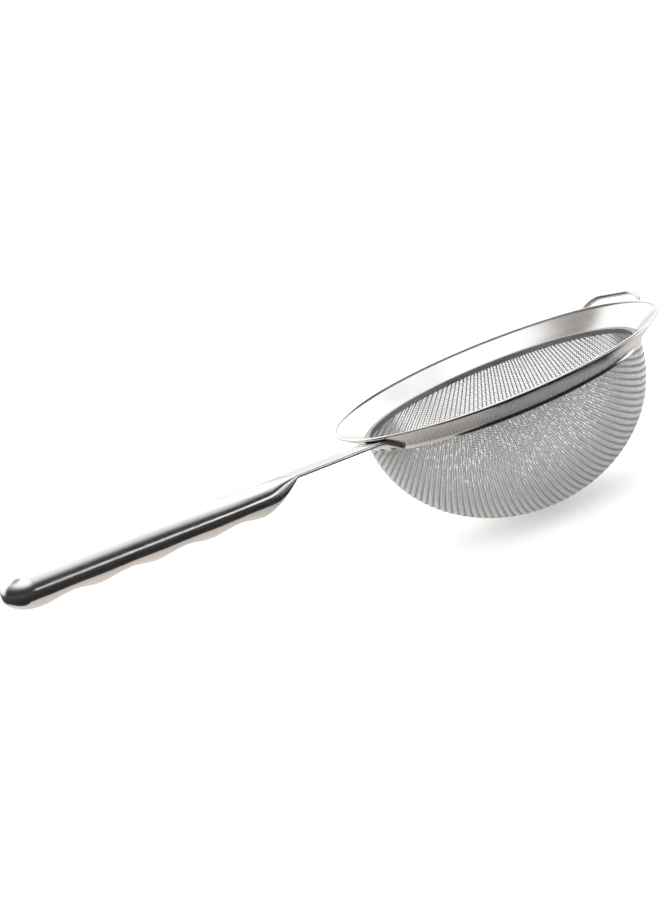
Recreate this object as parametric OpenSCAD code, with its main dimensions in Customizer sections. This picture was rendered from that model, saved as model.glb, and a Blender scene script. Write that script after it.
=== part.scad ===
// Tea strainer: a woven mesh bowl clamped in a sloping steel rim, with a hollow
// finger-grip handle on a flat strap and a wire rest on the opposite side.
// +Z is up, the handle runs towards -X, and the origin is the centre of the mouth,
// at the level where the sloping flange turns down into the collar.

/* [Rim] */
// Outer diameter of the rim
rim_d = 95; // [70:1:140]
// Radial width of the sloping flange
flange_w = 7.5; // [5:0.5:12]
// Drop of the flange from its edge to the collar
flange_drop = 5.4; // [3:0.2:9]
// Thickness of the rim's steel sheet
sheet_t = 0.5; // [0.4:0.05:0.8]
// Diameter of the turned lip at the rim's edge
lip_d = 0.9; // [0.8:0.05:1.4]
// Height of the straight collar below the flange
collar_h = 1.1; // [0.8:0.1:3]

/* [Clamp ring] */
// Thickness of the ring that clamps the mesh in the collar
ring_t = 0.5; // [0.4:0.05:0.8]
// Thickness of the ring's top lip, which covers the cut ends of the wires
ring_lip_t = 0.4; // [0.3:0.05:0.6]

/* [Mesh bowl] */
// Thickness of the woven mesh, a thick wire between two thin ones
mesh_t = 0.9; // [0.5:0.05:1.2]
// Depth of the bowl below the collar
bowl_depth = 34.2; // [20:0.5:60]

/* [Strap] */
// Width of the strap
strap_w = 10; // [6:0.5:14]
// Thickness of the strap
strap_t = 1; // [0.8:0.1:1.6]
// Upward tilt of the strap and handle
handle_tilt = 7; // [3:0.5:12]
// Distance from the rim's edge in to the strap's bend
bend_in = 0.9; // [0.7:0.1:2]
// Distance from the collar's wall out to the end of the strap's tab
tab_gap = 0.6; // [0.3:0.1:1.5]
// Thickness of the tang inside the handle
tang_t = 0.4; // [0.3:0.05:0.5]
// Width of the tang
tang_w = 7; // [4:0.5:8]
// Length of the tang inside the handle
tang_len = 12; // [6:1:20]

/* [Handle] */
// Length of bare strap between the rim's edge and the handle
neck_start = 28.3; // [20:0.5:50]
// Length of the hollow handle
handle_len = 86.9; // [70:1:130]
// Width of the handle
handle_w = 14; // [12:0.5:20]
// Height of the handle's crown above the strap's mid plane
crown_h = 2.1; // [1:0.1:4]
// Depth of the handle's underside between the finger ridges
grip_depth = 6.3; // [5:0.1:10]
// Height of the finger ridges
ridge_h = 1; // [0:0.1:2]
// Distance between finger ridges
ridge_pitch = 16.9; // [12:0.1:22]
// Length of the neck, where the handle grows from the strap
neck_len = 11.2; // [8:0.1:20]
// Length of the handle's rounded end
tail_len = 5; // [4:0.5:8]
// Depth of the seam between the two half shells below the strap's mid plane
seam_depth = 2.4; // [1.5:0.1:4]
// Thickness of the half shells
shell_t = 0.7; // [0.5:0.05:1]

/* [Wire rest] */
// Diameter of the rest's wire
rest_d = 1.6; // [1.2:0.1:2.5]
// Distance between the middles of the rest's two legs
rest_w = 25.6; // [16:0.2:36]
// How far the middle of the rest's front bar stands out past the rim's edge
rest_out = 2.7; // [2:0.1:20]
// Bend radius at the rest's two front corners
rest_bend = 7.5; // [2.5:0.1:9]

/* [Welds] */
// Diameter of the spot welds that hold the strap
strap_weld_d = 1.8; // [1:0.1:2.5]
// Distance between the strap's two spot welds
strap_weld_gap = 5; // [3:0.5:8]
// Height of a spot weld above the strap
strap_weld_h = 0.25; // [0.1:0.05:0.5]
// Diameter of the weld beads along the rest's legs
rest_weld_d = 1.9; // [1.7:0.1:3]
// Distance between the two weld beads on a leg
rest_weld_step = 2.6; // [2:0.1:4]

/* [Hidden] */
$fn = 96;
steel = [0.80, 0.80, 0.81];
steel_bright = [0.90, 0.90, 0.90];
steel_dark = [0.42, 0.42, 0.43];
mesh_grey = [0.66, 0.66, 0.67];

// Rim and collar
rim_r = rim_d / 2;
collar_r = rim_r - flange_w;
slope = flange_drop / flange_w;
slope_a = atan(slope);
lip_r = lip_d / 2;
lip_steps = 14;
// Height of the flange's inner and outer faces at radius r
function face_in(r) = slope * (r - collar_r);
function face_out(r) = face_in(r) - sheet_t / cos(slope_a);

// Mesh and clamp ring, from the collar inwards
mesh_r = collar_r;
ring_r = mesh_r - mesh_t;
mouth_r = ring_r - ring_t;
// The ring's wall ends level with the collar, where the mesh starts to curve in
ring_foot = -collar_h;
bowl_steps = 28;
// The mesh is one sheet, drawn in two nodes that meet at this step down its wall
join_step = 11;

// Strap: its mid plane leaves the rim's edge at strap_z
bend_r = rim_r - bend_in;
under = 0.02;
strap_z = face_out(bend_r) - under - strap_t / 2 / cos(handle_tilt)
          + bend_in * tan(handle_tilt);
tab_r = collar_r + sheet_t + tab_gap;

// Handle, along its own axis from the rim's edge
tail_s = neck_start + handle_len;
cavity_in = 3;
ridge_mean = grip_depth + ridge_h / 2;
// How closely the ridges keep to the middle of the underside
ridge_n = 4;
round_n = 2.3;
square_n = 7;
neck_steps = 12;
body_steps = 42;
tail_steps = 8;
ring_pts = 36;

// Share of the way from strap to full handle at distance s
function grow(s, len) = sin(90 * max(0, min(1, (s - neck_start) / len)));
function crown(s) = strap_t / 2 + (crown_h - strap_t / 2) * grow(s, handle_len * 0.7);
function half_w(s) = strap_w / 2 + (handle_w - strap_w) / 2 * pow(grow(s, neck_len * 2), 2);
function seam(s) = -seam_depth * grow(s, neck_len);
function ridges(s) = ridge_h / 2 * cos(360 * (s - neck_start - neck_len) / ridge_pitch)
                     * grow(s, neck_len);
function belly(s) = strap_t / 2 + (ridge_mean - strap_t / 2) * grow(s, neck_len);
function depth(s) = belly(s) + ridges(s);
function section_n(s) = square_n + (round_n - square_n) * grow(s, neck_len);
// Signed power of a cosine or sine, for a section between a round and a square
function bulge(v, n) = sign(v) * pow(abs(v), 2 / n);
// How far the rounded end has closed at distance s, for an end at e
function closing(s, e) = let (t = (s - e + tail_len) / tail_len) t <= 0 ? 1 : sqrt(max(0, 1 - t * t));
function tail_mid(s) = (crown(s) - depth(s)) / 2;
// The ring of points at distance s, with the wall w taken off
function ring(s, e, w) =
    let (n = section_n(s), k = max(0.03, closing(s, e)), m = tail_mid(s))
    [for (i = [0:ring_pts - 1])
        let (a = 360 * i / ring_pts,
             top = crown(s) - w - seam(s),
             low = belly(s) - w + seam(s),
             y = (half_w(s) - w) * bulge(cos(a), n),
             up = (sin(a) >= 0 ? top : low) * bulge(sin(a), n),
             h = seam(s) + up - (sin(a) < 0 ? ridges(s) * pow(sin(a), ridge_n) : 0))
        [s, k * y, m + k * (h - m)]];
// Distances of the rings from start b to end e: neck, finger grip, rounded end
function stations(b, e) = concat(
    [for (i = [0:neck_steps - 1]) b + (neck_start + neck_len - b) * i / neck_steps],
    [for (i = [0:body_steps - 1])
        neck_start + neck_len + (e - tail_len - neck_start - neck_len) * i / body_steps],
    [for (i = [0:tail_steps]) e - tail_len + tail_len * sin(90 * i / tail_steps)]);

module loft(rings) {
    n = len(rings);
    m = ring_pts;
    polyhedron(
        points = [for (r = rings) each r],
        faces = concat(
            [[for (i = [0:m - 1]) i]],
            [for (j = [0:n - 2]) for (i = [0:m - 1])
                [j * m + i, (j + 1) * m + i, (j + 1) * m + (i + 1) % m]],
            [for (j = [0:n - 2]) for (i = [0:m - 1])
                [j * m + i, (j + 1) * m + (i + 1) % m, j * m + (i + 1) % m]],
            [[for (i = [m - 1:-1:0]) (n - 1) * m + i]]));
}

// From the handle's own axis, pointing away from the rim, to the part's frame
module on_handle() {
    translate([-rim_r, 0, strap_z]) rotate([0, -handle_tilt, 180]) children();
}

module hollow_handle() {
    difference() {
        loft([for (s = stations(neck_start, tail_s)) ring(s, tail_s, 0)]);
        loft([for (s = stations(neck_start + cavity_in, tail_s - shell_t))
                ring(s, tail_s - shell_t, shell_t)]);
        tang();
    }
}

// Everything below the seam between the half shells
module below_seam() {
    far = 3 * grip_depth;
    line = [for (s = stations(neck_start, tail_s))
        let (k = max(0.03, closing(s, tail_s)), m = tail_mid(s)) [s, m + k * (seam(s) - m)]];
    rotate([90, 0, 0])
        linear_extrude(height = 2 * handle_w, center = true)
            polygon(concat([[neck_start - 1, 0]], line,
                [[tail_s + 1, line[len(line) - 1][1]], [tail_s + 1, -far], [neck_start - 1, -far]]));
}

module tang() {
    translate([neck_start, -tang_w / 2, -tang_t / 2]) cube([tang_len, tang_w, tang_t]);
}

module rim_flange() {
    // The lip is a round bead whose underside runs on from the flange's outer face
    lip_x = rim_r - lip_r;
    lip_z = face_out(lip_x) + lip_r / cos(slope_a);
    first = slope_a - 90;
    last = 180 + slope_a - acos((sheet_t - lip_r) / lip_r) + 90;
    lip = [for (i = [0:lip_steps])
        let (a = first + (last - first) * i / lip_steps) [lip_x + lip_r * cos(a), lip_z + lip_r * sin(a)]];
    color(steel_bright) rotate_extrude()
        polygon(concat([[collar_r, -collar_h], [collar_r + sheet_t, -collar_h],
            [collar_r + sheet_t, face_out(collar_r + sheet_t)]], lip, [[collar_r, 0]]));
}

module mesh_clamp_ring() {
    color(steel_dark) rotate_extrude()
        polygon([[mouth_r, ring_foot], [mouth_r, ring_lip_t], [mesh_r, ring_lip_t], [mesh_r, 0],
            [ring_r, 0], [ring_r, ring_foot]]);
}

// Points down the bowl's wall, for a mouth radius r and a depth d
function bowl_wall(r, d) = [for (i = [0:bowl_steps - 1])
    let (a = 90 * i / bowl_steps) [r * cos(a), -collar_h - d * sin(a)]];

outer_wall = bowl_wall(mesh_r, bowl_depth);
inner_wall = bowl_wall(mesh_r - mesh_t, bowl_depth - mesh_t);

// The mesh from the clamp ring down to the join
module mesh_bowl() {
    color(mesh_grey) rotate_extrude()
        polygon(concat([[mesh_r, 0]], [for (i = [0:join_step]) outer_wall[i]],
            [for (i = [join_step:-1:0]) inner_wall[i]], [[ring_r, 0]]));
}

// The mesh from the join down to the bottom of the bowl
module mesh_bowl_base() {
    color(mesh_grey) rotate_extrude()
        polygon(concat([for (i = [join_step:bowl_steps - 1]) outer_wall[i]],
            [[0, -collar_h - bowl_depth], [0, -collar_h - bowl_depth + mesh_t]],
            [for (i = [bowl_steps - 1:-1:join_step]) inner_wall[i]]));
}

// Steel sheet of thickness t lying against the flange's outer face, between two radii
module against_flange(r1, r2, t) {
    drop = t / cos(slope_a);
    rotate_extrude()
        polygon([[r1, face_out(r1)], [r2, face_out(r2)], [r2, face_out(r2) - drop],
            [r1, face_out(r1) - drop]]);
}

module strap() {
    fold = 1;
    drop = strap_t / cos(slope_a);
    inner_r = bend_r - fold;
    half = strap_t / 2 / cos(handle_tilt);
    rise = tan(handle_tilt);
    end_x = rim_r + neck_start * cos(handle_tilt);
    // Height of the strap's mid plane at distance x from the strainer's axis
    function mid(x) = strap_z + (x - rim_r) * rise;
    // Where the strap's lower face meets the tab's
    meet = (face_out(0) - drop - under - (strap_z - rim_r * rise - half)) / (rise - slope);
    lean = strap_t / 2 * sin(handle_tilt);
    color(steel_bright) {
        union() {
            intersection() {
                against_flange(tab_r, bend_r, strap_t);
                translate([-rim_r - 1, -strap_w / 2, -rim_r]) cube([rim_r, strap_w, 2 * rim_r]);
            }
            rotate([90, 0, 0]) linear_extrude(height = strap_w, center = true)
                polygon([[-inner_r, face_out(inner_r) - under], [-bend_r, mid(bend_r) + half],
                    [-end_x + lean, mid(end_x - lean) + half], [-end_x - lean, mid(end_x + lean) - half],
                    [-meet, mid(meet) - half], [-inner_r, face_out(inner_r) - under - drop]]);
            on_handle() tang();
        }
    }
}

module handle_upper_shell() {
    color(steel) on_handle() difference() {
        hollow_handle();
        below_seam();
    }
}

module handle_lower_shell() {
    color(steel) on_handle() intersection() {
        hollow_handle();
        below_seam();
    }
}

// The rest lies in a plane that touches the flange's outer face under each leg
rest_y = rest_w / 2;
touch_r = collar_r + flange_w * 0.6;
touch_x = sqrt(touch_r * touch_r - rest_y * rest_y);
leg_slope = slope * touch_x / touch_r;
leg_a = atan(leg_slope);
leg_back = 2;
leg_front = (rim_r + rest_out - touch_x) / cos(leg_a);
// How far the bend has brought the wire in where it passes the rim's edge. The flange is
// lower there, so the legs lie a little further below it.
edge_r = rim_r + rest_d / 2 * sin(slope_a);
edge_s = (sqrt(edge_r * edge_r - rest_y * rest_y) - touch_x) / cos(leg_a);
in_bend = max(0, min(rest_bend, edge_s - leg_front + rest_bend));
come_in = rest_bend - sqrt(rest_bend * rest_bend - in_bend * in_bend);
leg_gap = under + come_in * rest_y / rim_r * sin(slope_a);
leg_drop = (rest_d / 2 + leg_gap) / cos(slope_a);

module on_rest() {
    translate([touch_x, 0, face_out(touch_r) - leg_drop]) rotate([0, -leg_a, 0]) children();
}

module rest_rod(length) {
    rotate([0, 90, 0]) cylinder(d = rest_d, h = length);
}

module wire_rest() {
    bar = rest_w - 2 * rest_bend;
    color(steel) on_rest() union() {
        for (side = [-1, 1]) {
            translate([-leg_back, side * rest_y, 0]) rest_rod(leg_back + leg_front - rest_bend);
            translate([leg_front - rest_bend, side * (rest_y - rest_bend), 0])
                rotate([0, 0, side > 0 ? 0 : -90])
                    rotate_extrude(angle = 90) translate([rest_bend, 0]) circle(d = rest_d);
        }
        translate([leg_front, -bar / 2, 0]) rotate([0, 0, 90]) rest_rod(bar);
    }
}

module strap_welds() {
    weld_r = (tab_r + bend_r) / 2 - 0.8;
    spread = asin(strap_weld_gap / 2 / weld_r);
    drop = strap_t / cos(slope_a);
    color(steel_dark)
        for (side = [-1, 1])
            rotate([0, 0, 180 + side * spread])
                translate([weld_r, 0, face_out(weld_r) - drop]) rotate([0, -slope_a, 0])
                    translate([0, 0, -strap_weld_h]) cylinder(d = strap_weld_d, h = strap_weld_h);
}

module rest_welds() {
    color(steel_dark) difference() {
        for (side = [-1, 1]) for (along = [-1, 1])
            on_rest() translate([along * rest_weld_step / 2, side * rest_y, rest_d / 2 - under])
                sphere(d = rest_weld_d, $fn = 96);
        rotate_extrude($fn = 720)
            polygon([[collar_r - flange_w, face_out(collar_r - flange_w)], [rim_r, face_out(rim_r)],
                [rim_r, rim_r], [collar_r - flange_w, rim_r]]);
        wire_rest($fn = 96);
    }
}

rim_flange();
mesh_clamp_ring();
mesh_bowl();
mesh_bowl_base();
strap();
handle_upper_shell();
handle_lower_shell();
wire_rest();
strap_welds();
rest_welds();
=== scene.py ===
"""The looks of a stainless tea strainer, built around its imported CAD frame.

The mesh is real woven wire: two families of round wires that cross over and under each other in a cloth
pressed into the bowl. The sheet, strap, handle shells and wire rest are remade with fine round edges.
Lengths are in millimetres until a mesh is made, and in metres from there on.
"""

import bmesh
import bpy
import numpy as np
from math import atan, cos, degrees, hypot, pi, radians, sin, sqrt, tan
from mathutils import Matrix, Vector


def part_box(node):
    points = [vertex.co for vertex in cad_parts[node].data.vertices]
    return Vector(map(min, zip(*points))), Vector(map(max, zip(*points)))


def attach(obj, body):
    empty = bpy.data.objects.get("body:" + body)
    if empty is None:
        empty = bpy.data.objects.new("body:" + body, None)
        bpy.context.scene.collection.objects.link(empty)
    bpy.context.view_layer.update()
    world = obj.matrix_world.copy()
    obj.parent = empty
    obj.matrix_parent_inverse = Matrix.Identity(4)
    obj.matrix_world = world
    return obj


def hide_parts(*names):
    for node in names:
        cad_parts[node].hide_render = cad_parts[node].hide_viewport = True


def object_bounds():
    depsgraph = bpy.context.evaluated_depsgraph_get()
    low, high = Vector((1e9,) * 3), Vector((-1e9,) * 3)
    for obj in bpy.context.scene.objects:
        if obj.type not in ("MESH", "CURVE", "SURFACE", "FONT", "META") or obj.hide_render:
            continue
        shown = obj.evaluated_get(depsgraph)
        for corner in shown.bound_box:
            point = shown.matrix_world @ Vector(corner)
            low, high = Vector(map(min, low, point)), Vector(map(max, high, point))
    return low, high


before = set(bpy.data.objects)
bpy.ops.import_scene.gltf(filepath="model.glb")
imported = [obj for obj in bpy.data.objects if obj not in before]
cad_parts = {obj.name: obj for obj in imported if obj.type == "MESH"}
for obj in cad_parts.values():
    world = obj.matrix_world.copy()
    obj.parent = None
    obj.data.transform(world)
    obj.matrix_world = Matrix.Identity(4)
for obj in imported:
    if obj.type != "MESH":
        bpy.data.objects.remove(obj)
cad_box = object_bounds()
MM = 0.001
BODY = "root"


def size_mm(node):
    """Lowest and highest corner of a CAD node, in millimetres."""
    low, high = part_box(node)
    return np.array(low) / MM, np.array(high) / MM


# --- Sizes, from the frame where it gives them -------------------------------------------------------
flange_low = size_mm("rim_flange")[0]
bowl_low = size_mm("mesh_bowl_base")[0]
ring_low, ring_high = size_mm("mesh_clamp_ring")
rest_high = size_mm("wire_rest")[1]
strap_low, strap_high = size_mm("strap")

RIM_R = 47.5
COLLAR_R = 40.0
FLANGE_DROP = 5.4
SHEET_T = 0.5
LIP_R = 0.45
COLLAR_H = -flange_low[2]
SLOPE = FLANGE_DROP / (RIM_R - COLLAR_R)
SLOPE_A = atan(SLOPE)
MESH_T = 0.9
BOWL_DEPTH = -bowl_low[2] - COLLAR_H
MOUTH_R = 38.6
# Hairline gap between the flange and what is welded to it
CLEAR = 0.02
# The lip is drawn this much smaller, so that it stays inside the frame's box
INSET = 0.008
RING_TOP = ring_high[2]
RING_LOW = ring_low[2]

STRAP_W = strap_high[1] - strap_low[1]
STRAP_T = 1.0
TILT = radians(7)
BEND_IN = 0.9
TAB_R = COLLAR_R + SHEET_T + 0.6

NECK_START = 28.3
HANDLE_LEN = 86.9
HANDLE_W = 14.0
CROWN_H = 2.1
GRIP_DEPTH = 6.3
RIDGE_H = 1.0
RIDGE_PITCH = 16.9
NECK_LEN = 11.2
TAIL_LEN = 5.0
SEAM_DEPTH = 2.4
SHELL_T = 0.7
# The visual handle is this much lower and shorter than the frame's
CROWN_INSET = 0.01
TAIL_INSET = 0.02

REST_D = 1.6
REST_Y = 12.8
REST_BEND = 7.5

# Wire cloth: stout warp wires far apart, and finer weft wires close together that go over and under them.
# Seen from a point above the mouth, the wires of the pressed bowl are evenly spread in angle.
WEAVE_HEIGHT = 26.3
WARP_STEP = 1 / 31
WARP_D = 0.44
WEFT_STEP = 1 / 160
WEFT_D = 0.23
# Direction in which the weft runs across the bottom of the bowl
WEAVE_TURN = radians(-45)


def face_in(r):
    """Height of the flange's inner face at radius r."""
    return SLOPE * (r - COLLAR_R)


def face_out(r):
    """Height of the flange's outer face at radius r."""
    return face_in(r) - SHEET_T / cos(SLOPE_A)


BEND_R = RIM_R - BEND_IN
STRAP_Z = face_out(BEND_R) - CLEAR - STRAP_T / 2 / cos(TILT) + BEND_IN * tan(TILT)


# --- Node helpers ------------------------------------------------------------------------------------
def colour(code):
    """An sRGB hex colour as linear RGBA."""
    parts = [int(code[i : i + 2], 16) / 255 for i in (1, 3, 5)]
    linear = [c / 12.92 if c <= 0.04045 else ((c + 0.055) / 1.055) ** 2.4 for c in parts]
    return (*linear, 1.0)


def node(tree, kind, settings=None, **inputs):
    """Adds a node. settings are its own properties; an input is a value, or a socket to link from.
    An input's name has _ for a space, and a digit alone after _ is the input's number."""
    made = tree.nodes.new(kind)
    for key, value in (settings or {}).items():
        setattr(made, key, value)
    for key, value in inputs.items():
        number = key.lstrip("_")
        socket = made.inputs[int(number)] if number.isdigit() else made.inputs[key.replace("_", " ")]
        if isinstance(value, bpy.types.NodeSocket):
            tree.links.new(value, socket)
        else:
            socket.default_value = value
    return made


def new_material(name):
    """A material with nothing in it but an empty tree, and that tree."""
    made = bpy.data.materials.new(name)
    made.use_nodes = True
    made.node_tree.nodes.clear()
    return made, made.node_tree


def ramp(tree, factor, stops):
    """A colour ramp through (position, colour) stops."""
    made = node(tree, "ShaderNodeValToRGB", _0=factor)
    band = made.color_ramp
    while len(band.elements) < len(stops):
        band.elements.new(0.5)
    for element, (place, value) in zip(band.elements, stops):
        element.position = place
        element.color = value
    return made.outputs["Color"]


# --- Materials ---------------------------------------------------------------------------------------
def grey(value):
    return (value, value, value, 1.0)


def spun_steel():
    """Stainless 304 sheet, spun and polished: near-mirror, with faint rings left by the lathe."""
    made, tree = new_material("polished_stainless_spun")
    place = node(tree, "ShaderNodeTexCoord").outputs["Object"]
    flat = node(tree, "ShaderNodeVectorMath", {"operation": "MULTIPLY"}, _0=place, _1=(1, 1, 0))
    reach = node(tree, "ShaderNodeVectorMath", {"operation": "LENGTH"}, _0=flat.outputs[0]).outputs["Value"]
    height = node(tree, "ShaderNodeSeparateXYZ", _0=place).outputs["Z"]
    along = node(tree, "ShaderNodeCombineXYZ", X=reach, Y=height)
    # Lathe rings are about 0.1 mm apart
    rings = node(tree, "ShaderNodeTexNoise", Vector=along.outputs[0], Scale=9000.0, Detail=3.0, Roughness=0.6)
    patches = node(tree, "ShaderNodeTexNoise", Vector=place, Scale=60.0, Detail=3.0, Roughness=0.5)
    rough = node(tree, "ShaderNodeMapRange", _0=rings.outputs[0], _1=0.3, _2=0.7, _3=0.10, _4=0.24)
    smear = node(tree, "ShaderNodeMapRange", _0=patches.outputs[0], _1=0.3, _2=0.7, _3=-0.02, _4=0.04)
    total = node(tree, "ShaderNodeMath", {"operation": "ADD"}, _0=rough.outputs[0], _1=smear.outputs[0])
    bump = node(tree, "ShaderNodeBump", Strength=0.12, Distance=0.00003, Height=rings.outputs[0])
    tone = ramp(tree, patches.outputs[0], [(0.3, colour("#DAD8D6")), (0.7, colour("#E6E5E4"))])
    shader = node(tree, "ShaderNodeBsdfPrincipled", Base_Color=tone, Metallic=1.0, Roughness=total.outputs[0],
                  Normal=bump.outputs[0])
    node(tree, "ShaderNodeOutputMaterial", Surface=shader.outputs[0])
    return made


def drawn_steel(name, low, high, base, rough, scratch=0.0):
    """Stainless steel with fine marks that run along X: drawn, rolled or belt-polished that way."""
    made, tree = new_material(name)
    place = node(tree, "ShaderNodeTexCoord").outputs["Object"]
    turned = node(tree, "ShaderNodeMapping", {"vector_type": "POINT"}, Vector=place,
                  Rotation=(0, TILT, 0), Scale=(60, 5200, 5200))
    marks = node(tree, "ShaderNodeTexNoise", Vector=turned.outputs[0], Scale=1.0, Detail=3.0, Roughness=0.6)
    patches = node(tree, "ShaderNodeTexNoise", Vector=place, Scale=70.0, Detail=4.0, Roughness=0.55)
    spread = node(tree, "ShaderNodeMapRange", _0=marks.outputs[0], _1=0.3, _2=0.7, _3=rough * 0.7,
                  _4=rough * 1.4)
    smear = node(tree, "ShaderNodeMapRange", _0=patches.outputs[0], _1=0.3, _2=0.7, _3=-0.02, _4=0.03)
    total = node(tree, "ShaderNodeMath", {"operation": "ADD"}, _0=spread.outputs[0], _1=smear.outputs[0])
    bump = node(tree, "ShaderNodeBump", Strength=scratch, Distance=0.00003, Height=marks.outputs[0])
    tone = ramp(tree, patches.outputs[0], [(low, colour(base[0])), (high, colour(base[1]))])
    shader = node(tree, "ShaderNodeBsdfPrincipled", Base_Color=tone, Metallic=1.0, Roughness=total.outputs[0],
                  Normal=bump.outputs[0])
    node(tree, "ShaderNodeOutputMaterial", Surface=shader.outputs[0])
    return made


def wire_steel():
    """Drawn stainless wire: satin, with painted shade that darkens a wire where it dips between its
    neighbours.
    The lift attribute is 0 at the middle of the cloth and 1 at its faces."""
    made, tree = new_material("drawn_stainless_wire_cloth")
    place = node(tree, "ShaderNodeTexCoord").outputs["Object"]
    specks = node(tree, "ShaderNodeTexNoise", Vector=place, Scale=1500.0, Detail=2.0, Roughness=0.5)
    patches = node(tree, "ShaderNodeTexNoise", Vector=place, Scale=45.0, Detail=3.0, Roughness=0.5)
    tone = ramp(tree, specks.outputs[0], [(0.3, colour("#D0D0D1")), (0.7, colour("#EBEBEB"))])
    rough = node(tree, "ShaderNodeMapRange", _0=patches.outputs[0], _1=0.3, _2=0.7, _3=0.38, _4=0.5)
    lift = node(tree, "ShaderNodeAttribute", {"attribute_name": "lift"}).outputs["Vector"]
    height = node(tree, "ShaderNodeVectorMath", {"operation": "LENGTH"}, _0=lift).outputs["Value"]
    # Painted shade: the wire's colour is darkened towards the middle of the cloth, where wires pass under
    # others
    crevice_shade = ramp(tree, height, [(0.15, grey(0.45)), (0.85, grey(1.0))])
    shaded_tone = node(tree, "ShaderNodeMix", {"data_type": "RGBA", "blend_type": "MULTIPLY"}, _0=1.0, _6=tone,
                _7=crevice_shade)
    shader = node(tree, "ShaderNodeBsdfPrincipled", Base_Color=shaded_tone.outputs[2], Metallic=0.5,
                  Roughness=rough.outputs[0])
    node(tree, "ShaderNodeOutputMaterial", Surface=shader.outputs[0])
    return made


def weld_steel():
    """A spot weld: a shallow dimple ringed by heat tint, straw to grey-blue, rough."""
    made, tree = new_material("spot_weld_heat_tinted")
    place = node(tree, "ShaderNodeTexCoord").outputs["Object"]
    grain = node(tree, "ShaderNodeTexNoise", Vector=place, Scale=2500.0, Detail=4.0, Roughness=0.6)
    tone = ramp(tree, grain.outputs[0],
                [(0.3, colour("#5C564F")), (0.55, colour("#8C8478")), (0.75, colour("#A9A6A2"))])
    rough = node(tree, "ShaderNodeMapRange", _0=grain.outputs[0], _1=0.3, _2=0.7, _3=0.35, _4=0.55)
    bump = node(tree, "ShaderNodeBump", Strength=0.4, Distance=0.00005, Height=grain.outputs[0])
    shader = node(tree, "ShaderNodeBsdfPrincipled", Base_Color=tone, Metallic=1.0, Roughness=rough.outputs[0],
                  Normal=bump.outputs[0])
    node(tree, "ShaderNodeOutputMaterial", Surface=shader.outputs[0])
    return made


# --- Mesh helpers ------------------------------------------------------------------------------------
def piece(name, points, faces, material, replaced=(), smooth=True, sharp=radians(40)):
    """A finished piece from points in millimetres: shaded, given its material and tied to the frame."""
    mesh = bpy.data.meshes.new(name)
    mesh.from_pydata([tuple(float(c) * MM for c in p) for p in points], [], faces)
    work = bmesh.new()
    work.from_mesh(mesh)
    bmesh.ops.remove_doubles(work, verts=work.verts, dist=1e-7)
    bmesh.ops.recalc_face_normals(work, faces=work.faces)
    work.to_mesh(mesh)
    work.free()
    made = bpy.data.objects.new(name, mesh)
    bpy.context.scene.collection.objects.link(made)
    mesh.materials.append(material)
    if smooth:
        mesh.polygons.foreach_set("use_smooth", [True] * len(mesh.polygons))
        mesh.set_sharp_from_angle(angle=sharp)
    tie(made, replaced)
    return made


def tie(made, replaced):
    """Rides a piece on the frame's one body and hides the CAD parts that it stands for."""
    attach(made, BODY)
    if replaced:
        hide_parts(*replaced)


def grid_faces(rows, columns, closed_rows=False, closed_columns=True):
    """Quads between rings of points; each ring has `columns` points."""
    faces = []
    for j in range(rows if closed_rows else rows - 1):
        k = (j + 1) % rows
        for i in range(columns if closed_columns else columns - 1):
            n = (i + 1) % columns
            faces.append((j * columns + i, k * columns + i, k * columns + n, j * columns + n))
    return faces


def end_caps(count, columns):
    """The two faces that close the first and last ring of `count` points."""
    return [tuple(range(columns))[::-1], tuple(count - columns + i for i in range(columns))]


def lathe(profile, steps):
    """Points and faces of a closed (radius, height) outline turned round Z."""
    points = []
    for i in range(steps):
        a = 2 * pi * i / steps
        points += [(r * cos(a), r * sin(a), z) for r, z in profile]
    return points, grid_faces(steps, len(profile), closed_rows=True)


def arc(x, y, radius, first, last, steps):
    """Points on an arc, from angle first to angle last, in degrees."""
    turns = [radians(first + (last - first) * i / steps) for i in range(steps + 1)]
    return [(x + radius * cos(a), y + radius * sin(a)) for a in turns]


def rounded(outline, radius, steps=4):
    """A closed outline with each corner cut to an arc-like curve."""
    made = []
    count = len(outline)
    for i, corner in enumerate(outline):
        here = Vector(corner)
        before = Vector(outline[i - 1]) - here
        after = Vector(outline[(i + 1) % count]) - here
        reach = min(radius, before.length * 0.45, after.length * 0.45)
        start, end = here + before.normalized() * reach, here + after.normalized() * reach
        for k in range(steps + 1):
            t = k / steps
            made.append(tuple(start * (1 - t) ** 2 + here * 2 * t * (1 - t) + end * t * t))
    return made


# --- Rim and clamp ring ------------------------------------------------------------------------------
def build_rim(material):
    lip_x = RIM_R - LIP_R
    lip_z = face_out(lip_x) + LIP_R / cos(SLOPE_A)
    first = degrees(SLOPE_A) - 90
    last = first + 270
    knee = 0.35
    inner_knee = [(COLLAR_R, -knee), (COLLAR_R + 0.05, -knee * 0.4),
                  (COLLAR_R + 0.2, face_in(COLLAR_R + 0.2) + 0.04), (COLLAR_R + 0.5, face_in(COLLAR_R + 0.5))]
    slope_in = [COLLAR_R + 0.5 + (lip_x - 0.9 - COLLAR_R) * t for t in (0.25, 0.5, 0.75)]
    slope_in = [(r, face_in(r)) for r in slope_in]
    lip = arc(lip_x, lip_z, LIP_R - INSET, first, last, 20)
    out_r = COLLAR_R + SHEET_T
    outside = [(out_r, -COLLAR_H + 0.08), (out_r, face_out(out_r) - 0.2),
               (out_r + 0.12, face_out(out_r) + 0.02)]
    slope_out = [out_r + (lip_x - out_r) * t for t in (0.1, 0.4, 0.7, 0.95)]
    slope_out = [(r, face_out(r)) for r in slope_out]
    foot = [(COLLAR_R, -COLLAR_H + 0.08), (COLLAR_R + 0.08, -COLLAR_H), (out_r - 0.08, -COLLAR_H)]
    profile = foot + outside + slope_out + lip + slope_in[::-1] + inner_knee[::-1]
    points, faces = lathe(profile, 288)
    return piece("rim", points, faces, material, ["rim_flange"], sharp=radians(60))


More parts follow.
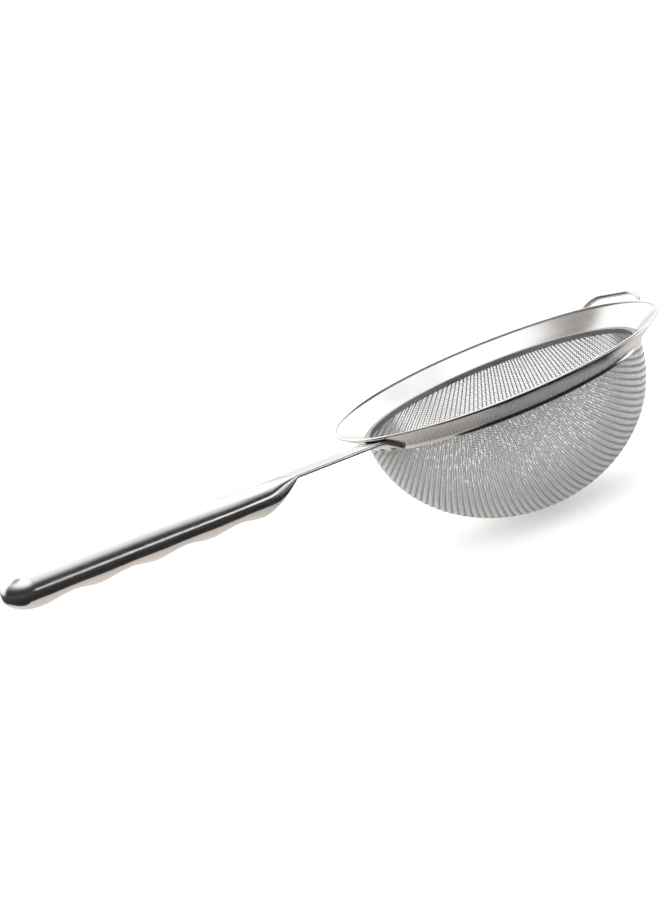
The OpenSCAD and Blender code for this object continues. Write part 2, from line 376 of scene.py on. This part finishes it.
def build_clamp_ring(material):
    ring_r = COLLAR_R - MESH_T
    outline = [(MOUTH_R, RING_LOW), (ring_r, RING_LOW), (ring_r, 0), (COLLAR_R - 0.02, 0),
               (COLLAR_R - 0.02, RING_TOP), (MOUTH_R, RING_TOP)]
    points, faces = lathe(rounded(outline, 0.14), 288)
    return piece("clamp_ring", points, faces, material, ["mesh_clamp_ring"], sharp=radians(60))


# --- Wire cloth --------------------------------------------------------------------------------------
def bowl_meridian():
    """The bowl's middle surface from its lowest point to the mouth: distance walked, radius and height."""
    mid_r = COLLAR_R - MESH_T / 2
    mid_d = BOWL_DEPTH - MESH_T / 2
    turn = np.linspace(0, pi / 2, 2001)
    radius = np.append(mid_r * np.sin(turn), mid_r)
    height = np.append(-COLLAR_H - mid_d * np.cos(turn), 0)
    walked = np.concatenate([[0], np.cumsum(np.hypot(np.diff(radius), np.diff(height)))])
    return walked, radius, height


MERIDIAN = bowl_meridian()


# How far out each point of the meridian looks from the point above the mouth, as a tangent
SPREAD = MERIDIAN[1] / (WEAVE_HEIGHT - MERIDIAN[2])


def pressed(angles):
    """Where the crossing of a warp and a weft wire lies in the bowl, and the outward direction there.
    angles holds the lean of the warp's plane and of the weft's plane."""
    walked, radius, height = MERIDIAN
    lean = np.tan(angles)
    reach = np.interp(np.hypot(lean[:, 0], lean[:, 1]), SPREAD, walked)
    turn = np.arctan2(lean[:, 1], lean[:, 0]) + WEAVE_TURN
    r, z = np.interp(reach, walked, radius), np.interp(reach, walked, height)
    r1, z1 = np.interp(reach + 0.2, walked, radius), np.interp(reach + 0.2, walked, height)
    r0, z0 = np.interp(reach - 0.2, walked, radius), np.interp(reach - 0.2, walked, height)
    size = np.hypot(r1 - r0, z1 - z0) + 1e-9
    out_r, out_z = (z1 - z0) / size, -(r1 - r0) / size
    place = np.stack([r * np.cos(turn), r * np.sin(turn), z], -1)
    out = np.stack([out_r * np.cos(turn), out_r * np.sin(turn), out_z], -1)
    return place, out


def wire_paths(across, pitch, step, wave, share, shares):
    """Paths of one family's wires. across 0 runs along the weft's direction, 1 across it; each wire is
    the angle pitch from the next and has a point every step. wave gives the lift from the wire's
    number and the angle along it. share picks one of the equal shares the family is made in.
    Returns points, edges and each point's lift direction."""
    limit = SPREAD[-1] * 0.985
    count = int(atan(limit) / pitch)
    points, edges, lifts = [], [], []
    rows = range(-count - 1, count + 1)
    for row in rows[share * len(rows) // shares:(share + 1) * len(rows) // shares]:
        offset = (row + 0.5) * pitch
        if abs(tan(offset)) >= limit:
            continue
        reach = atan(sqrt(limit**2 - tan(offset) ** 2))
        along = np.arange(-int(reach / step), int(reach / step) + 1) * step + step / 2
        along = along[np.abs(along) < reach]
        along = np.concatenate([[-reach], along, [reach]])
        if len(along) < 5:
            continue
        angles = np.stack([along, np.full(len(along), offset)], -1)
        place, out = pressed(angles if across == 0 else angles[:, ::-1])
        edges += [(n, n + 1) for n in range(len(points), len(points) + len(place) - 1)]
        points += list(place)
        lifts += list(out * wave(row, along)[:, None])
    return points, edges, lifts


def weft_wave(row, along):
    """Over one warp wire and under the next; neighbouring wefts go the other way."""
    return np.sin(pi * along / WARP_STEP) * (1 if row % 2 else -1)


def warp_wave(row, along):
    return np.zeros(len(along))


def wire_tree():
    """Geometry Nodes that turn wire paths into round, crimped wires."""
    tree = bpy.data.node_groups.new("woven_wire", "GeometryNodeTree")
    tree.interface.new_socket("Paths", in_out="INPUT", socket_type="NodeSocketGeometry")
    for label, value in (("Wire diameter", WEFT_D * MM), ("Rise", 0.5 * (WARP_D + WEFT_D) * MM)):
        socket = tree.interface.new_socket(label, in_out="INPUT", socket_type="NodeSocketFloat")
        socket.default_value = value
    sides = tree.interface.new_socket("Sides", in_out="INPUT", socket_type="NodeSocketInt")
    sides.default_value = 6
    tree.interface.new_socket("Material", in_out="INPUT", socket_type="NodeSocketMaterial")
    tree.interface.new_socket("Wires", in_out="OUTPUT", socket_type="NodeSocketGeometry")
    given = tree.nodes.new("NodeGroupInput")
    lift = node(tree, "GeometryNodeInputNamedAttribute", {"data_type": "FLOAT_VECTOR"}, Name="lift")
    offset = node(tree, "ShaderNodeVectorMath", {"operation": "SCALE"}, _0=lift.outputs[0],
                  Scale=given.outputs["Rise"])
    crimped = node(tree, "GeometryNodeSetPosition", Geometry=given.outputs["Paths"], Offset=offset.outputs[0])
    curves = node(tree, "GeometryNodeMeshToCurve", Mesh=crimped.outputs[0])
    radius = node(tree, "ShaderNodeMath", {"operation": "MULTIPLY"}, _0=given.outputs["Wire diameter"],
                  _1=0.5)
    ring = node(tree, "GeometryNodeCurvePrimitiveCircle", Resolution=given.outputs["Sides"],
                Radius=radius.outputs[0])
    swept = node(tree, "GeometryNodeCurveToMesh", Curve=curves.outputs[0], Profile_Curve=ring.outputs[0],
                 Fill_Caps=True)
    smooth = node(tree, "GeometryNodeSetShadeSmooth", Geometry=swept.outputs[0])
    real = node(tree, "GeometryNodeRealizeInstances", Geometry=smooth.outputs[0])
    finish = node(tree, "GeometryNodeSetMaterial", Geometry=real.outputs[0],
                  Material=given.outputs["Material"])
    done = tree.nodes.new("NodeGroupOutput")
    tree.links.new(finish.outputs[0], done.inputs[0])
    return tree


def grown(name, source, tree, values):
    """The plain mesh object that a Geometry Nodes tree makes from a source mesh."""
    carrier = bpy.data.objects.new(name + "_source", source)
    bpy.context.scene.collection.objects.link(carrier)
    modifier = carrier.modifiers.new("grow", "NODES")
    modifier.node_group = tree
    keys = {item.name: item.identifier for item in tree.interface.items_tree if item.in_out == "INPUT"}
    for label, value in values.items():
        modifier[keys[label]] = value
    view = bpy.context.evaluated_depsgraph_get()
    mesh = bpy.data.meshes.new_from_object(carrier.evaluated_get(view))
    mesh.name = name
    made = bpy.data.objects.new(name, mesh)
    bpy.context.scene.collection.objects.link(made)
    bpy.data.objects.remove(carrier)
    return made


def build_mesh_bowl(material):
    tree = wire_tree()
    families = (("warp", 1, WARP_STEP, 1 / 60, warp_wave, WARP_D, 8, 1),
                ("weft", 0, WEFT_STEP, WARP_STEP / 4, weft_wave, WEFT_D, 5, 6))
    for label, across, pitch, step, wave, thick, sides, shares in families:
        for share in range(shares):
            points, edges, lifts = wire_paths(across, pitch, step, wave, share, shares)
            source = bpy.data.meshes.new(f"{label}_{share + 1}_paths")
            source.from_pydata([tuple(float(c) * MM for c in p) for p in points], edges, [])
            store = source.attributes.new("lift", "FLOAT_VECTOR", "POINT")
            store.data.foreach_set("vector", np.array(lifts, float).ravel())
            wires = grown(f"mesh_{label}_wires_{share + 1}", source, tree,
                          {"Material": material, "Wire diameter": thick * MM, "Sides": sides})
            tie(wires, ["mesh_bowl", "mesh_bowl_base"])


# --- Strap -------------------------------------------------------------------------------------------
def strap_path():
    """The strap's middle line as (distance from the bowl's axis, height), from its tab to the handle."""
    drop = (SHEET_T + STRAP_T / 2) / cos(SLOPE_A)
    corner_r = (STRAP_Z - RIM_R * tan(TILT) + SLOPE * COLLAR_R + drop) / (SLOPE - tan(TILT))
    corner = Vector((corner_r, STRAP_Z + (corner_r - RIM_R) * tan(TILT)))
    tab = Vector((TAB_R, SLOPE * (TAB_R - COLLAR_R) - drop))
    end_s = NECK_START + 0.3
    end = Vector((RIM_R + end_s * cos(TILT), STRAP_Z + end_s * sin(TILT)))
    reach = 1.6
    into = corner + (tab - corner).normalized() * reach
    away = corner + (end - corner).normalized() * reach
    path = [tab + (into - tab) * i / 8 for i in range(9)]
    path += [into * (1 - t) ** 2 + corner * 2 * t * (1 - t) + away * t * t for t in np.linspace(0, 1, 11)[1:]]
    path += [away + (end - away) * i / 12 for i in range(1, 13)]
    return path, corner_r


def build_strap(material):
    path, corner_r = strap_path()
    half_w, half_t, edge = STRAP_W / 2, STRAP_T / 2, 0.28
    corners = [(-half_w, -half_t), (half_w, -half_t), (half_w, half_t), (-half_w, half_t)]
    section = rounded(corners, edge, 5)
    across = 12
    dense = []
    for i, (y, h) in enumerate(section):
        dense.append((y, h))
        y2 = section[(i + 1) % len(section)][0]
        if abs(y2 - y) > 2:
            dense += [(y + (y2 - y) * k / across, h) for k in range(1, across)]
    points = []
    for i, here in enumerate(path):
        ahead = path[min(i + 1, len(path) - 1)] - path[max(i - 1, 0)]
        up = Vector((-ahead.y, ahead.x)).normalized()
        blend = min(1, max(0, (corner_r + 0.5 - here.x) / 1.5))
        for y, h in dense:
            r = here.x + up.x * h
            z = here.y + up.y * h + blend * SLOPE * (hypot(r, y) - r)
            points.append((-r, y, z))
    faces = grid_faces(len(path), len(dense))
    faces += end_caps(len(points), len(dense))
    return piece("strap_bar", points, faces, material, ["strap"], sharp=radians(50))


# --- Handle ------------------------------------------------------------------------------------------
TAIL_S = NECK_START + HANDLE_LEN


def grow(s, length):
    return sin(pi / 2 * max(0.0, min(1.0, (s - NECK_START) / length)))


def crown(s):
    return STRAP_T / 2 + (CROWN_H - CROWN_INSET - STRAP_T / 2) * grow(s, HANDLE_LEN * 0.7)


def half_width(s):
    return STRAP_W / 2 + (HANDLE_W - STRAP_W) / 2 * grow(s, NECK_LEN * 2) ** 2


def seam(s):
    return -SEAM_DEPTH * grow(s, NECK_LEN)


def ridges(s):
    return RIDGE_H / 2 * cos(2 * pi * (s - NECK_START - NECK_LEN) / RIDGE_PITCH) * grow(s, NECK_LEN)


def belly(s):
    return STRAP_T / 2 + (GRIP_DEPTH + RIDGE_H / 2 - STRAP_T / 2) * grow(s, NECK_LEN)


def half_shell(lower, wall, steps_around):
    """Rings of one half shell's wall, from the neck to the rounded end, each an outer and an inner arc."""
    stations = [NECK_START + NECK_LEN * i / 60 for i in range(60)]
    body_end = TAIL_S - TAIL_LEN
    stations += [NECK_START + NECK_LEN + (body_end - NECK_START - NECK_LEN) * i / 150 for i in range(150)]
    stations += [body_end + (TAIL_LEN - TAIL_INSET) * sin(pi / 2 * i / 36) for i in range(37)]
    rings = []
    for s in stations:
        t = max(0.0, (s - body_end) / (TAIL_LEN - TAIL_INSET))
        closing = max(0.004, sqrt(max(0.0, 1 - t * t)))
        mid = (crown(s) - belly(s) - ridges(s)) / 2
        power = 2 / (7 + (2.3 - 7) * grow(s, NECK_LEN))
        high = (belly(s) + seam(s)) if lower else (crown(s) - seam(s))
        wide = half_width(s)
        ring = []
        for layer in (0, 1):
            thin = min(wall, 0.45 * high) * layer
            for i in range(steps_around + 1):
                a = pi * i / steps_around
                a = pi - a if layer else a
                y = (wide - thin) * (1 if cos(a) >= 0 else -1) * abs(cos(a)) ** power
                h = (high - thin) * abs(sin(a)) ** power
                h = seam(s) + (-h - ridges(s) * sin(a) ** 4 if lower else h)
                ring.append((s, closing * y, mid + closing * (h - mid)))
        rings.append(ring)
    return rings


def build_handle(material):
    u = Vector((-cos(TILT), 0, sin(TILT)))
    up = Vector((sin(TILT), 0, cos(TILT)))
    start = Vector((-RIM_R, 0, STRAP_Z))
    made = []
    for lower, name, replaced in ((False, "handle_upper", "handle_upper_shell"),
                                  (True, "handle_lower", "handle_lower_shell")):
        rings = half_shell(lower, SHELL_T, 48)
        points = []
        for ring in rings:
            points += [start + u * s + up * h + Vector((0, y, 0)) for s, y, h in ring]
        columns = len(rings[0])
        faces = grid_faces(len(rings), columns)
        faces += end_caps(len(points), columns)
        made.append(piece(name, points, faces, material, [replaced], sharp=radians(60)))
    return made


# --- Wire rest and welds -----------------------------------------------------------------------------
def tube(path, radius, sides=20):
    """A round wire along a path, with domed ends."""
    points, ends = [], 4
    path = [Vector(p) for p in path]
    first, last = (path[0] - path[1]).normalized(), (path[-1] - path[-2]).normalized()
    rings = [(path[0] + first * radius * sin(pi / 2 * (ends - k) / ends) * 0.6,
              radius * max(0.02, sin(pi / 2 * k / ends)), -first) for k in range(ends)]
    for i, here in enumerate(path):
        ahead = (path[min(i + 1, len(path) - 1)] - path[max(i - 1, 0)]).normalized()
        rings.append((here, radius, ahead))
    rings += [(path[-1] + last * radius * sin(pi / 2 * k / ends) * 0.6,
               radius * max(0.02, cos(pi / 2 * k / ends)), last) for k in range(1, ends + 1)]
    normal = None
    for here, size, ahead in rings:
        if normal is None:
            normal = ahead.orthogonal().normalized()
        normal = (normal - ahead * normal.dot(ahead)).normalized()
        side = ahead.cross(normal)
        for k in range(sides):
            a = 2 * pi * k / sides
            points.append(here + normal * size * cos(a) + side * size * sin(a))
    faces = grid_faces(len(rings), sides)
    faces += end_caps(len(points), sides)
    return points, faces


TOUCH_R = COLLAR_R + (RIM_R - COLLAR_R) * 0.6
TOUCH_X = sqrt(TOUCH_R**2 - REST_Y**2)
LEG_A = atan(SLOPE * TOUCH_X / TOUCH_R)
REST_FORWARD = Vector((cos(LEG_A), 0, sin(LEG_A)))
REST_REACH = (rest_high[0] - REST_D / 2 - TOUCH_X) / cos(LEG_A) - 0.05
# The bend brings the wire in before it passes the rim's edge, so the legs lie a little below the flange
EDGE_R = RIM_R + REST_D / 2 * sin(SLOPE_A)
IN_BEND = (sqrt(EDGE_R**2 - REST_Y**2) - TOUCH_X) / cos(LEG_A) - REST_REACH + REST_BEND
COME_IN = REST_BEND - sqrt(REST_BEND**2 - IN_BEND**2)
LEG_GAP = CLEAR + COME_IN * REST_Y / RIM_R * sin(SLOPE_A)
REST_START = Vector((TOUCH_X, 0, face_out(TOUCH_R) - (REST_D / 2 + LEG_GAP) / cos(SLOPE_A)))


def build_rest(material):
    flat = [(-2.0 + (REST_REACH - REST_BEND + 2.0) * i / 10, REST_Y) for i in range(10)]
    flat += arc(REST_REACH - REST_BEND, REST_Y - REST_BEND, REST_BEND, 90, 0, 16)
    path = [REST_START + REST_FORWARD * a + Vector((0, y, 0)) for a, y in flat]
    path += [Vector((p.x, -p.y, p.z)) for p in reversed(path)]
    points, faces = tube(path, REST_D / 2)
    return piece("rest_wire", points, faces, material, ["wire_rest"])


def dimple(centre, out, radius, height, rings=5, sides=20):
    """A shallow raised ring with a hollow middle, as a spot weld leaves."""
    across = out.orthogonal().normalized()
    side = out.cross(across)
    points, faces = [centre + out * height * 0.15], []
    for k in range(1, rings + 1):
        t = k / rings
        lift = height * (sin(pi * t) ** 0.8 if t < 1 else -0.2) + height * 0.15 * (1 - t)
        for i in range(sides):
            a = 2 * pi * i / sides
            points.append(centre + (across * cos(a) + side * sin(a)) * radius * t + out * lift)
    faces += [(0, 1 + i, 1 + (i + 1) % sides) for i in range(sides)]
    for k in range(rings - 1):
        for i in range(sides):
            n = (i + 1) % sides
            a, b = 1 + k * sides, 1 + (k + 1) * sides
            faces.append((a + i, b + i, b + n, a + n))
    low = len(points) - sides
    faces.append(tuple(low + i for i in range(sides))[::-1])
    return points, faces


def joined(parts):
    """Several (points, faces) as one."""
    points, faces = [], []
    for more, quads in parts:
        faces += [tuple(len(points) + i for i in face) for face in quads]
        points += list(more)
    return points, faces


def build_welds(material):
    weld_r = (TAB_R + BEND_R) / 2 - 0.8
    spread = 2.5 / weld_r
    drop = STRAP_T / cos(SLOPE_A)
    spots = []
    for side in (-1, 1):
        a = pi + side * spread
        radial = Vector((cos(a), sin(a), 0))
        out = radial * sin(SLOPE_A) - Vector((0, 0, cos(SLOPE_A)))
        centre = radial * weld_r + Vector((0, 0, face_out(weld_r) - drop))
        spots.append(dimple(centre, out, 0.9, 0.16))
    points, faces = joined(spots)
    piece("strap_spot_welds", points, faces, material, ["strap_welds"])
    beads = []
    for side in (-1, 1):
        for along in (-1, 1):
            top = REST_START + REST_FORWARD * (along * 1.3) + Vector((0, side * REST_Y, 0))
            normal = Vector((-sin(LEG_A), 0, cos(LEG_A)))
            centre = top + normal * (REST_D / 2 - CLEAR)
            beads.append(ball(centre, 0.93))
    points, faces = joined(beads)
    points = [Vector((p.x, p.y, min(p.z, face_out(hypot(p.x, p.y)) - 0.01))) for p in points]
    piece("rest_weld_beads", points, faces, material, ["rest_welds"])


def ball(centre, radius, rings=10, sides=20):
    """A round bead."""
    points = [centre + Vector((0, 0, radius))]
    for k in range(1, rings):
        p = pi * k / rings
        for i in range(sides):
            a = 2 * pi * i / sides
            points.append(centre + Vector((sin(p) * cos(a), sin(p) * sin(a), cos(p))) * radius)
    points.append(centre - Vector((0, 0, radius)))
    faces = [(0, 1 + i, 1 + (i + 1) % sides) for i in range(sides)]
    for k in range(rings - 2):
        a, b = 1 + k * sides, 1 + (k + 1) * sides
        faces += [(a + i, b + i, b + (i + 1) % sides, a + (i + 1) % sides) for i in range(sides)]
    last = len(points) - 1
    faces += [(last - sides + (i + 1) % sides, last - sides + i, last) for i in range(sides)]
    return points, faces


# --- Studio ------------------------------------------------------------------------------------------
CAMERA_AZIMUTH = radians(-33.7)
CAMERA_ELEVATION = radians(10.72)
CAMERA_ROLL = radians(-22.36)
CAMERA_DISTANCE = 0.6844
CAMERA_AIM = Vector((-0.0420, 0.0272, 0.0018))
CAMERA_LENS = 100


def build_camera():
    data = bpy.data.cameras.new("camera")
    data.lens = CAMERA_LENS
    data.clip_start, data.clip_end = 0.01, 20
    made = bpy.data.objects.new("camera", data)
    bpy.context.scene.collection.objects.link(made)
    a, e = CAMERA_AZIMUTH, CAMERA_ELEVATION
    back = Vector((sin(a) * cos(e), -cos(a) * cos(e), sin(e)))
    level = Vector((cos(a), sin(a), 0))
    up = back.cross(level)
    right = level * cos(CAMERA_ROLL) + up * sin(CAMERA_ROLL)
    up = back.cross(right)
    turn = Matrix((right, up, back)).transposed().to_4x4()
    made.matrix_world = Matrix.Translation(CAMERA_AIM + back * CAMERA_DISTANCE) @ turn
    bpy.context.scene.camera = made
    return made


def area_light(name, place, aim, size, power, tint="#FFFFFF"):
    data = bpy.data.lights.new(name, "AREA")
    data.shape = "RECTANGLE"
    data.size, data.size_y = size
    data.energy = power
    data.color = colour(tint)[:3]
    made = bpy.data.objects.new(name, data)
    bpy.context.scene.collection.objects.link(made)
    made.location = place
    made.rotation_euler = (Vector(aim) - Vector(place)).to_track_quat("-Z", "Y").to_euler()
    return made


def level_sheet(left, right, front, back, height):
    """Corners of a flat sheet at one height."""
    return [(left, front, height), (right, front, height), (right, back, height), (left, back, height)]


def stage_plane(name, corners, material):
    mesh = bpy.data.meshes.new(name)
    mesh.from_pydata(corners, [], [(0, 1, 2, 3)])
    mesh.materials.append(material)
    made = bpy.data.objects.new(name, mesh)
    bpy.context.scene.collection.objects.link(made)
    return made


def matte(name, code):
    made, tree = new_material(name)
    shader = node(tree, "ShaderNodeBsdfPrincipled", Base_Color=colour(code), Roughness=0.9)
    node(tree, "ShaderNodeOutputMaterial", Surface=shader.outputs[0])
    return made


def for_steel_only(made):
    """Hides a card from the camera and from soft light, so that only shiny metal picks it up."""
    made.visible_camera = False
    made.visible_diffuse = False
    made.visible_shadow = False


def build_studio():
    floor_z = cad_box[0][2] - 0.0015
    far = 6.0
    black, card = floor_z + 0.0005, floor_z + 0.001
    stage_plane("floor", level_sheet(-far, far, -far, far, floor_z), matte("white_paper", "#F6F5F3"))
    for_steel_only(stage_plane("black_cloth", level_sheet(-5, 5, -5, 5, black),
                               matte("black_cloth", "#0B0B0D")))
    for name, code, edges in CARDS:
        for_steel_only(stage_plane(name, level_sheet(*edges, card), matte(name, code)))
    build_world()
    softbox = area_light("top_softbox", (0.35, 0.1, 0.9), (0, 0, 0), (0.9, 0.9), 4)
    softbox.visible_glossy = False
    bpy.context.scene.view_settings.view_transform = "Standard"


# Cards on the table, as left, right, front and back edges
CARDS = (("grey_card", "#ACA59F", (-0.174, 2.0, -0.018, 2.0)),
         ("white_card", "#DAD8D6", (0.07, 1.5, -1.5, -0.018)))
# Directions from the strainer to the tent's back wall and to the grey gap in it
BACK = (0.545, 0.817, 0.0)
GAP = (-0.05, 0.62, 0.78)


def build_world():
    """A white tent: dark and open towards the front and left, with a grey gap high in its back wall."""
    world = bpy.data.worlds.new("studio")
    bpy.context.scene.world = world
    world.use_nodes = True
    tree = world.node_tree
    tree.nodes.clear()
    direction = node(tree, "ShaderNodeTexCoord").outputs["Generated"]
    rise = node(tree, "ShaderNodeSeparateXYZ", _0=direction).outputs["Z"]
    behind = node(tree, "ShaderNodeVectorMath", {"operation": "DOT_PRODUCT"}, _0=direction, _1=BACK)
    side = node(tree, "ShaderNodeMapRange", {"interpolation_type": "SMOOTHSTEP"}, _0=behind.outputs["Value"],
                _1=0.3, _2=0.55, _3=0.0, _4=1.0)
    front = ramp(tree, rise, [(0.0, grey(0.02)), (0.42, grey(0.035)), (0.62, grey(0.35)), (0.85, grey(1.2)),
                              (1.0, grey(1.4))])
    back = ramp(tree, rise, [(0.0, grey(0.45)), (0.08, grey(1.2)), (0.3, grey(1.4))])
    gap_near = node(tree, "ShaderNodeVectorMath", {"operation": "DOT_PRODUCT"}, _0=direction, _1=GAP)
    gap_round = node(tree, "ShaderNodeMapRange", {"interpolation_type": "SMOOTHSTEP"},
                     _0=gap_near.outputs["Value"], _1=0.93, _2=1.0, _3=0.0, _4=1.0)
    gap_above = node(tree, "ShaderNodeMapRange", _0=rise, _1=0.68, _2=0.74, _3=0.0, _4=1.0)
    gap = node(tree, "ShaderNodeMath", {"operation": "MULTIPLY"}, _0=gap_round.outputs[0],
               _1=gap_above.outputs[0])
    tent = node(tree, "ShaderNodeMix", {"data_type": "RGBA"}, _0=side.outputs[0], _6=front, _7=back)
    torn = node(tree, "ShaderNodeMix", {"data_type": "RGBA"}, _0=gap.outputs[0], _6=tent.outputs[2],
                _7=colour("#A9A5A1"))
    glossy = node(tree, "ShaderNodeLightPath").outputs["Is Glossy Ray"]
    shown = node(tree, "ShaderNodeMix", {"data_type": "RGBA"}, _0=glossy, _6=grey(1.8), _7=torn.outputs[2])
    light = node(tree, "ShaderNodeBackground", Color=shown.outputs[2], Strength=1.0)
    node(tree, "ShaderNodeOutputWorld", Surface=light.outputs[0])


# --- Make everything ---------------------------------------------------------------------------------
build_camera()
build_studio()
polished = drawn_steel("polished_stainless_handle", 0.3, 0.7, ("#DCDCDD", "#E8E8E8"), 0.17, 0.05)
build_rim(spun_steel())
build_clamp_ring(drawn_steel("satin_stainless_ring", 0.3, 0.7, ("#8E8E90", "#A5A5A6"), 0.3, 0.1))
build_mesh_bowl(wire_steel())
build_strap(polished)
build_handle(polished)
build_rest(drawn_steel("bright_drawn_wire", 0.3, 0.7, ("#D2D2D3", "#E4E4E4"), 0.14, 0.08))
build_welds(weld_steel())
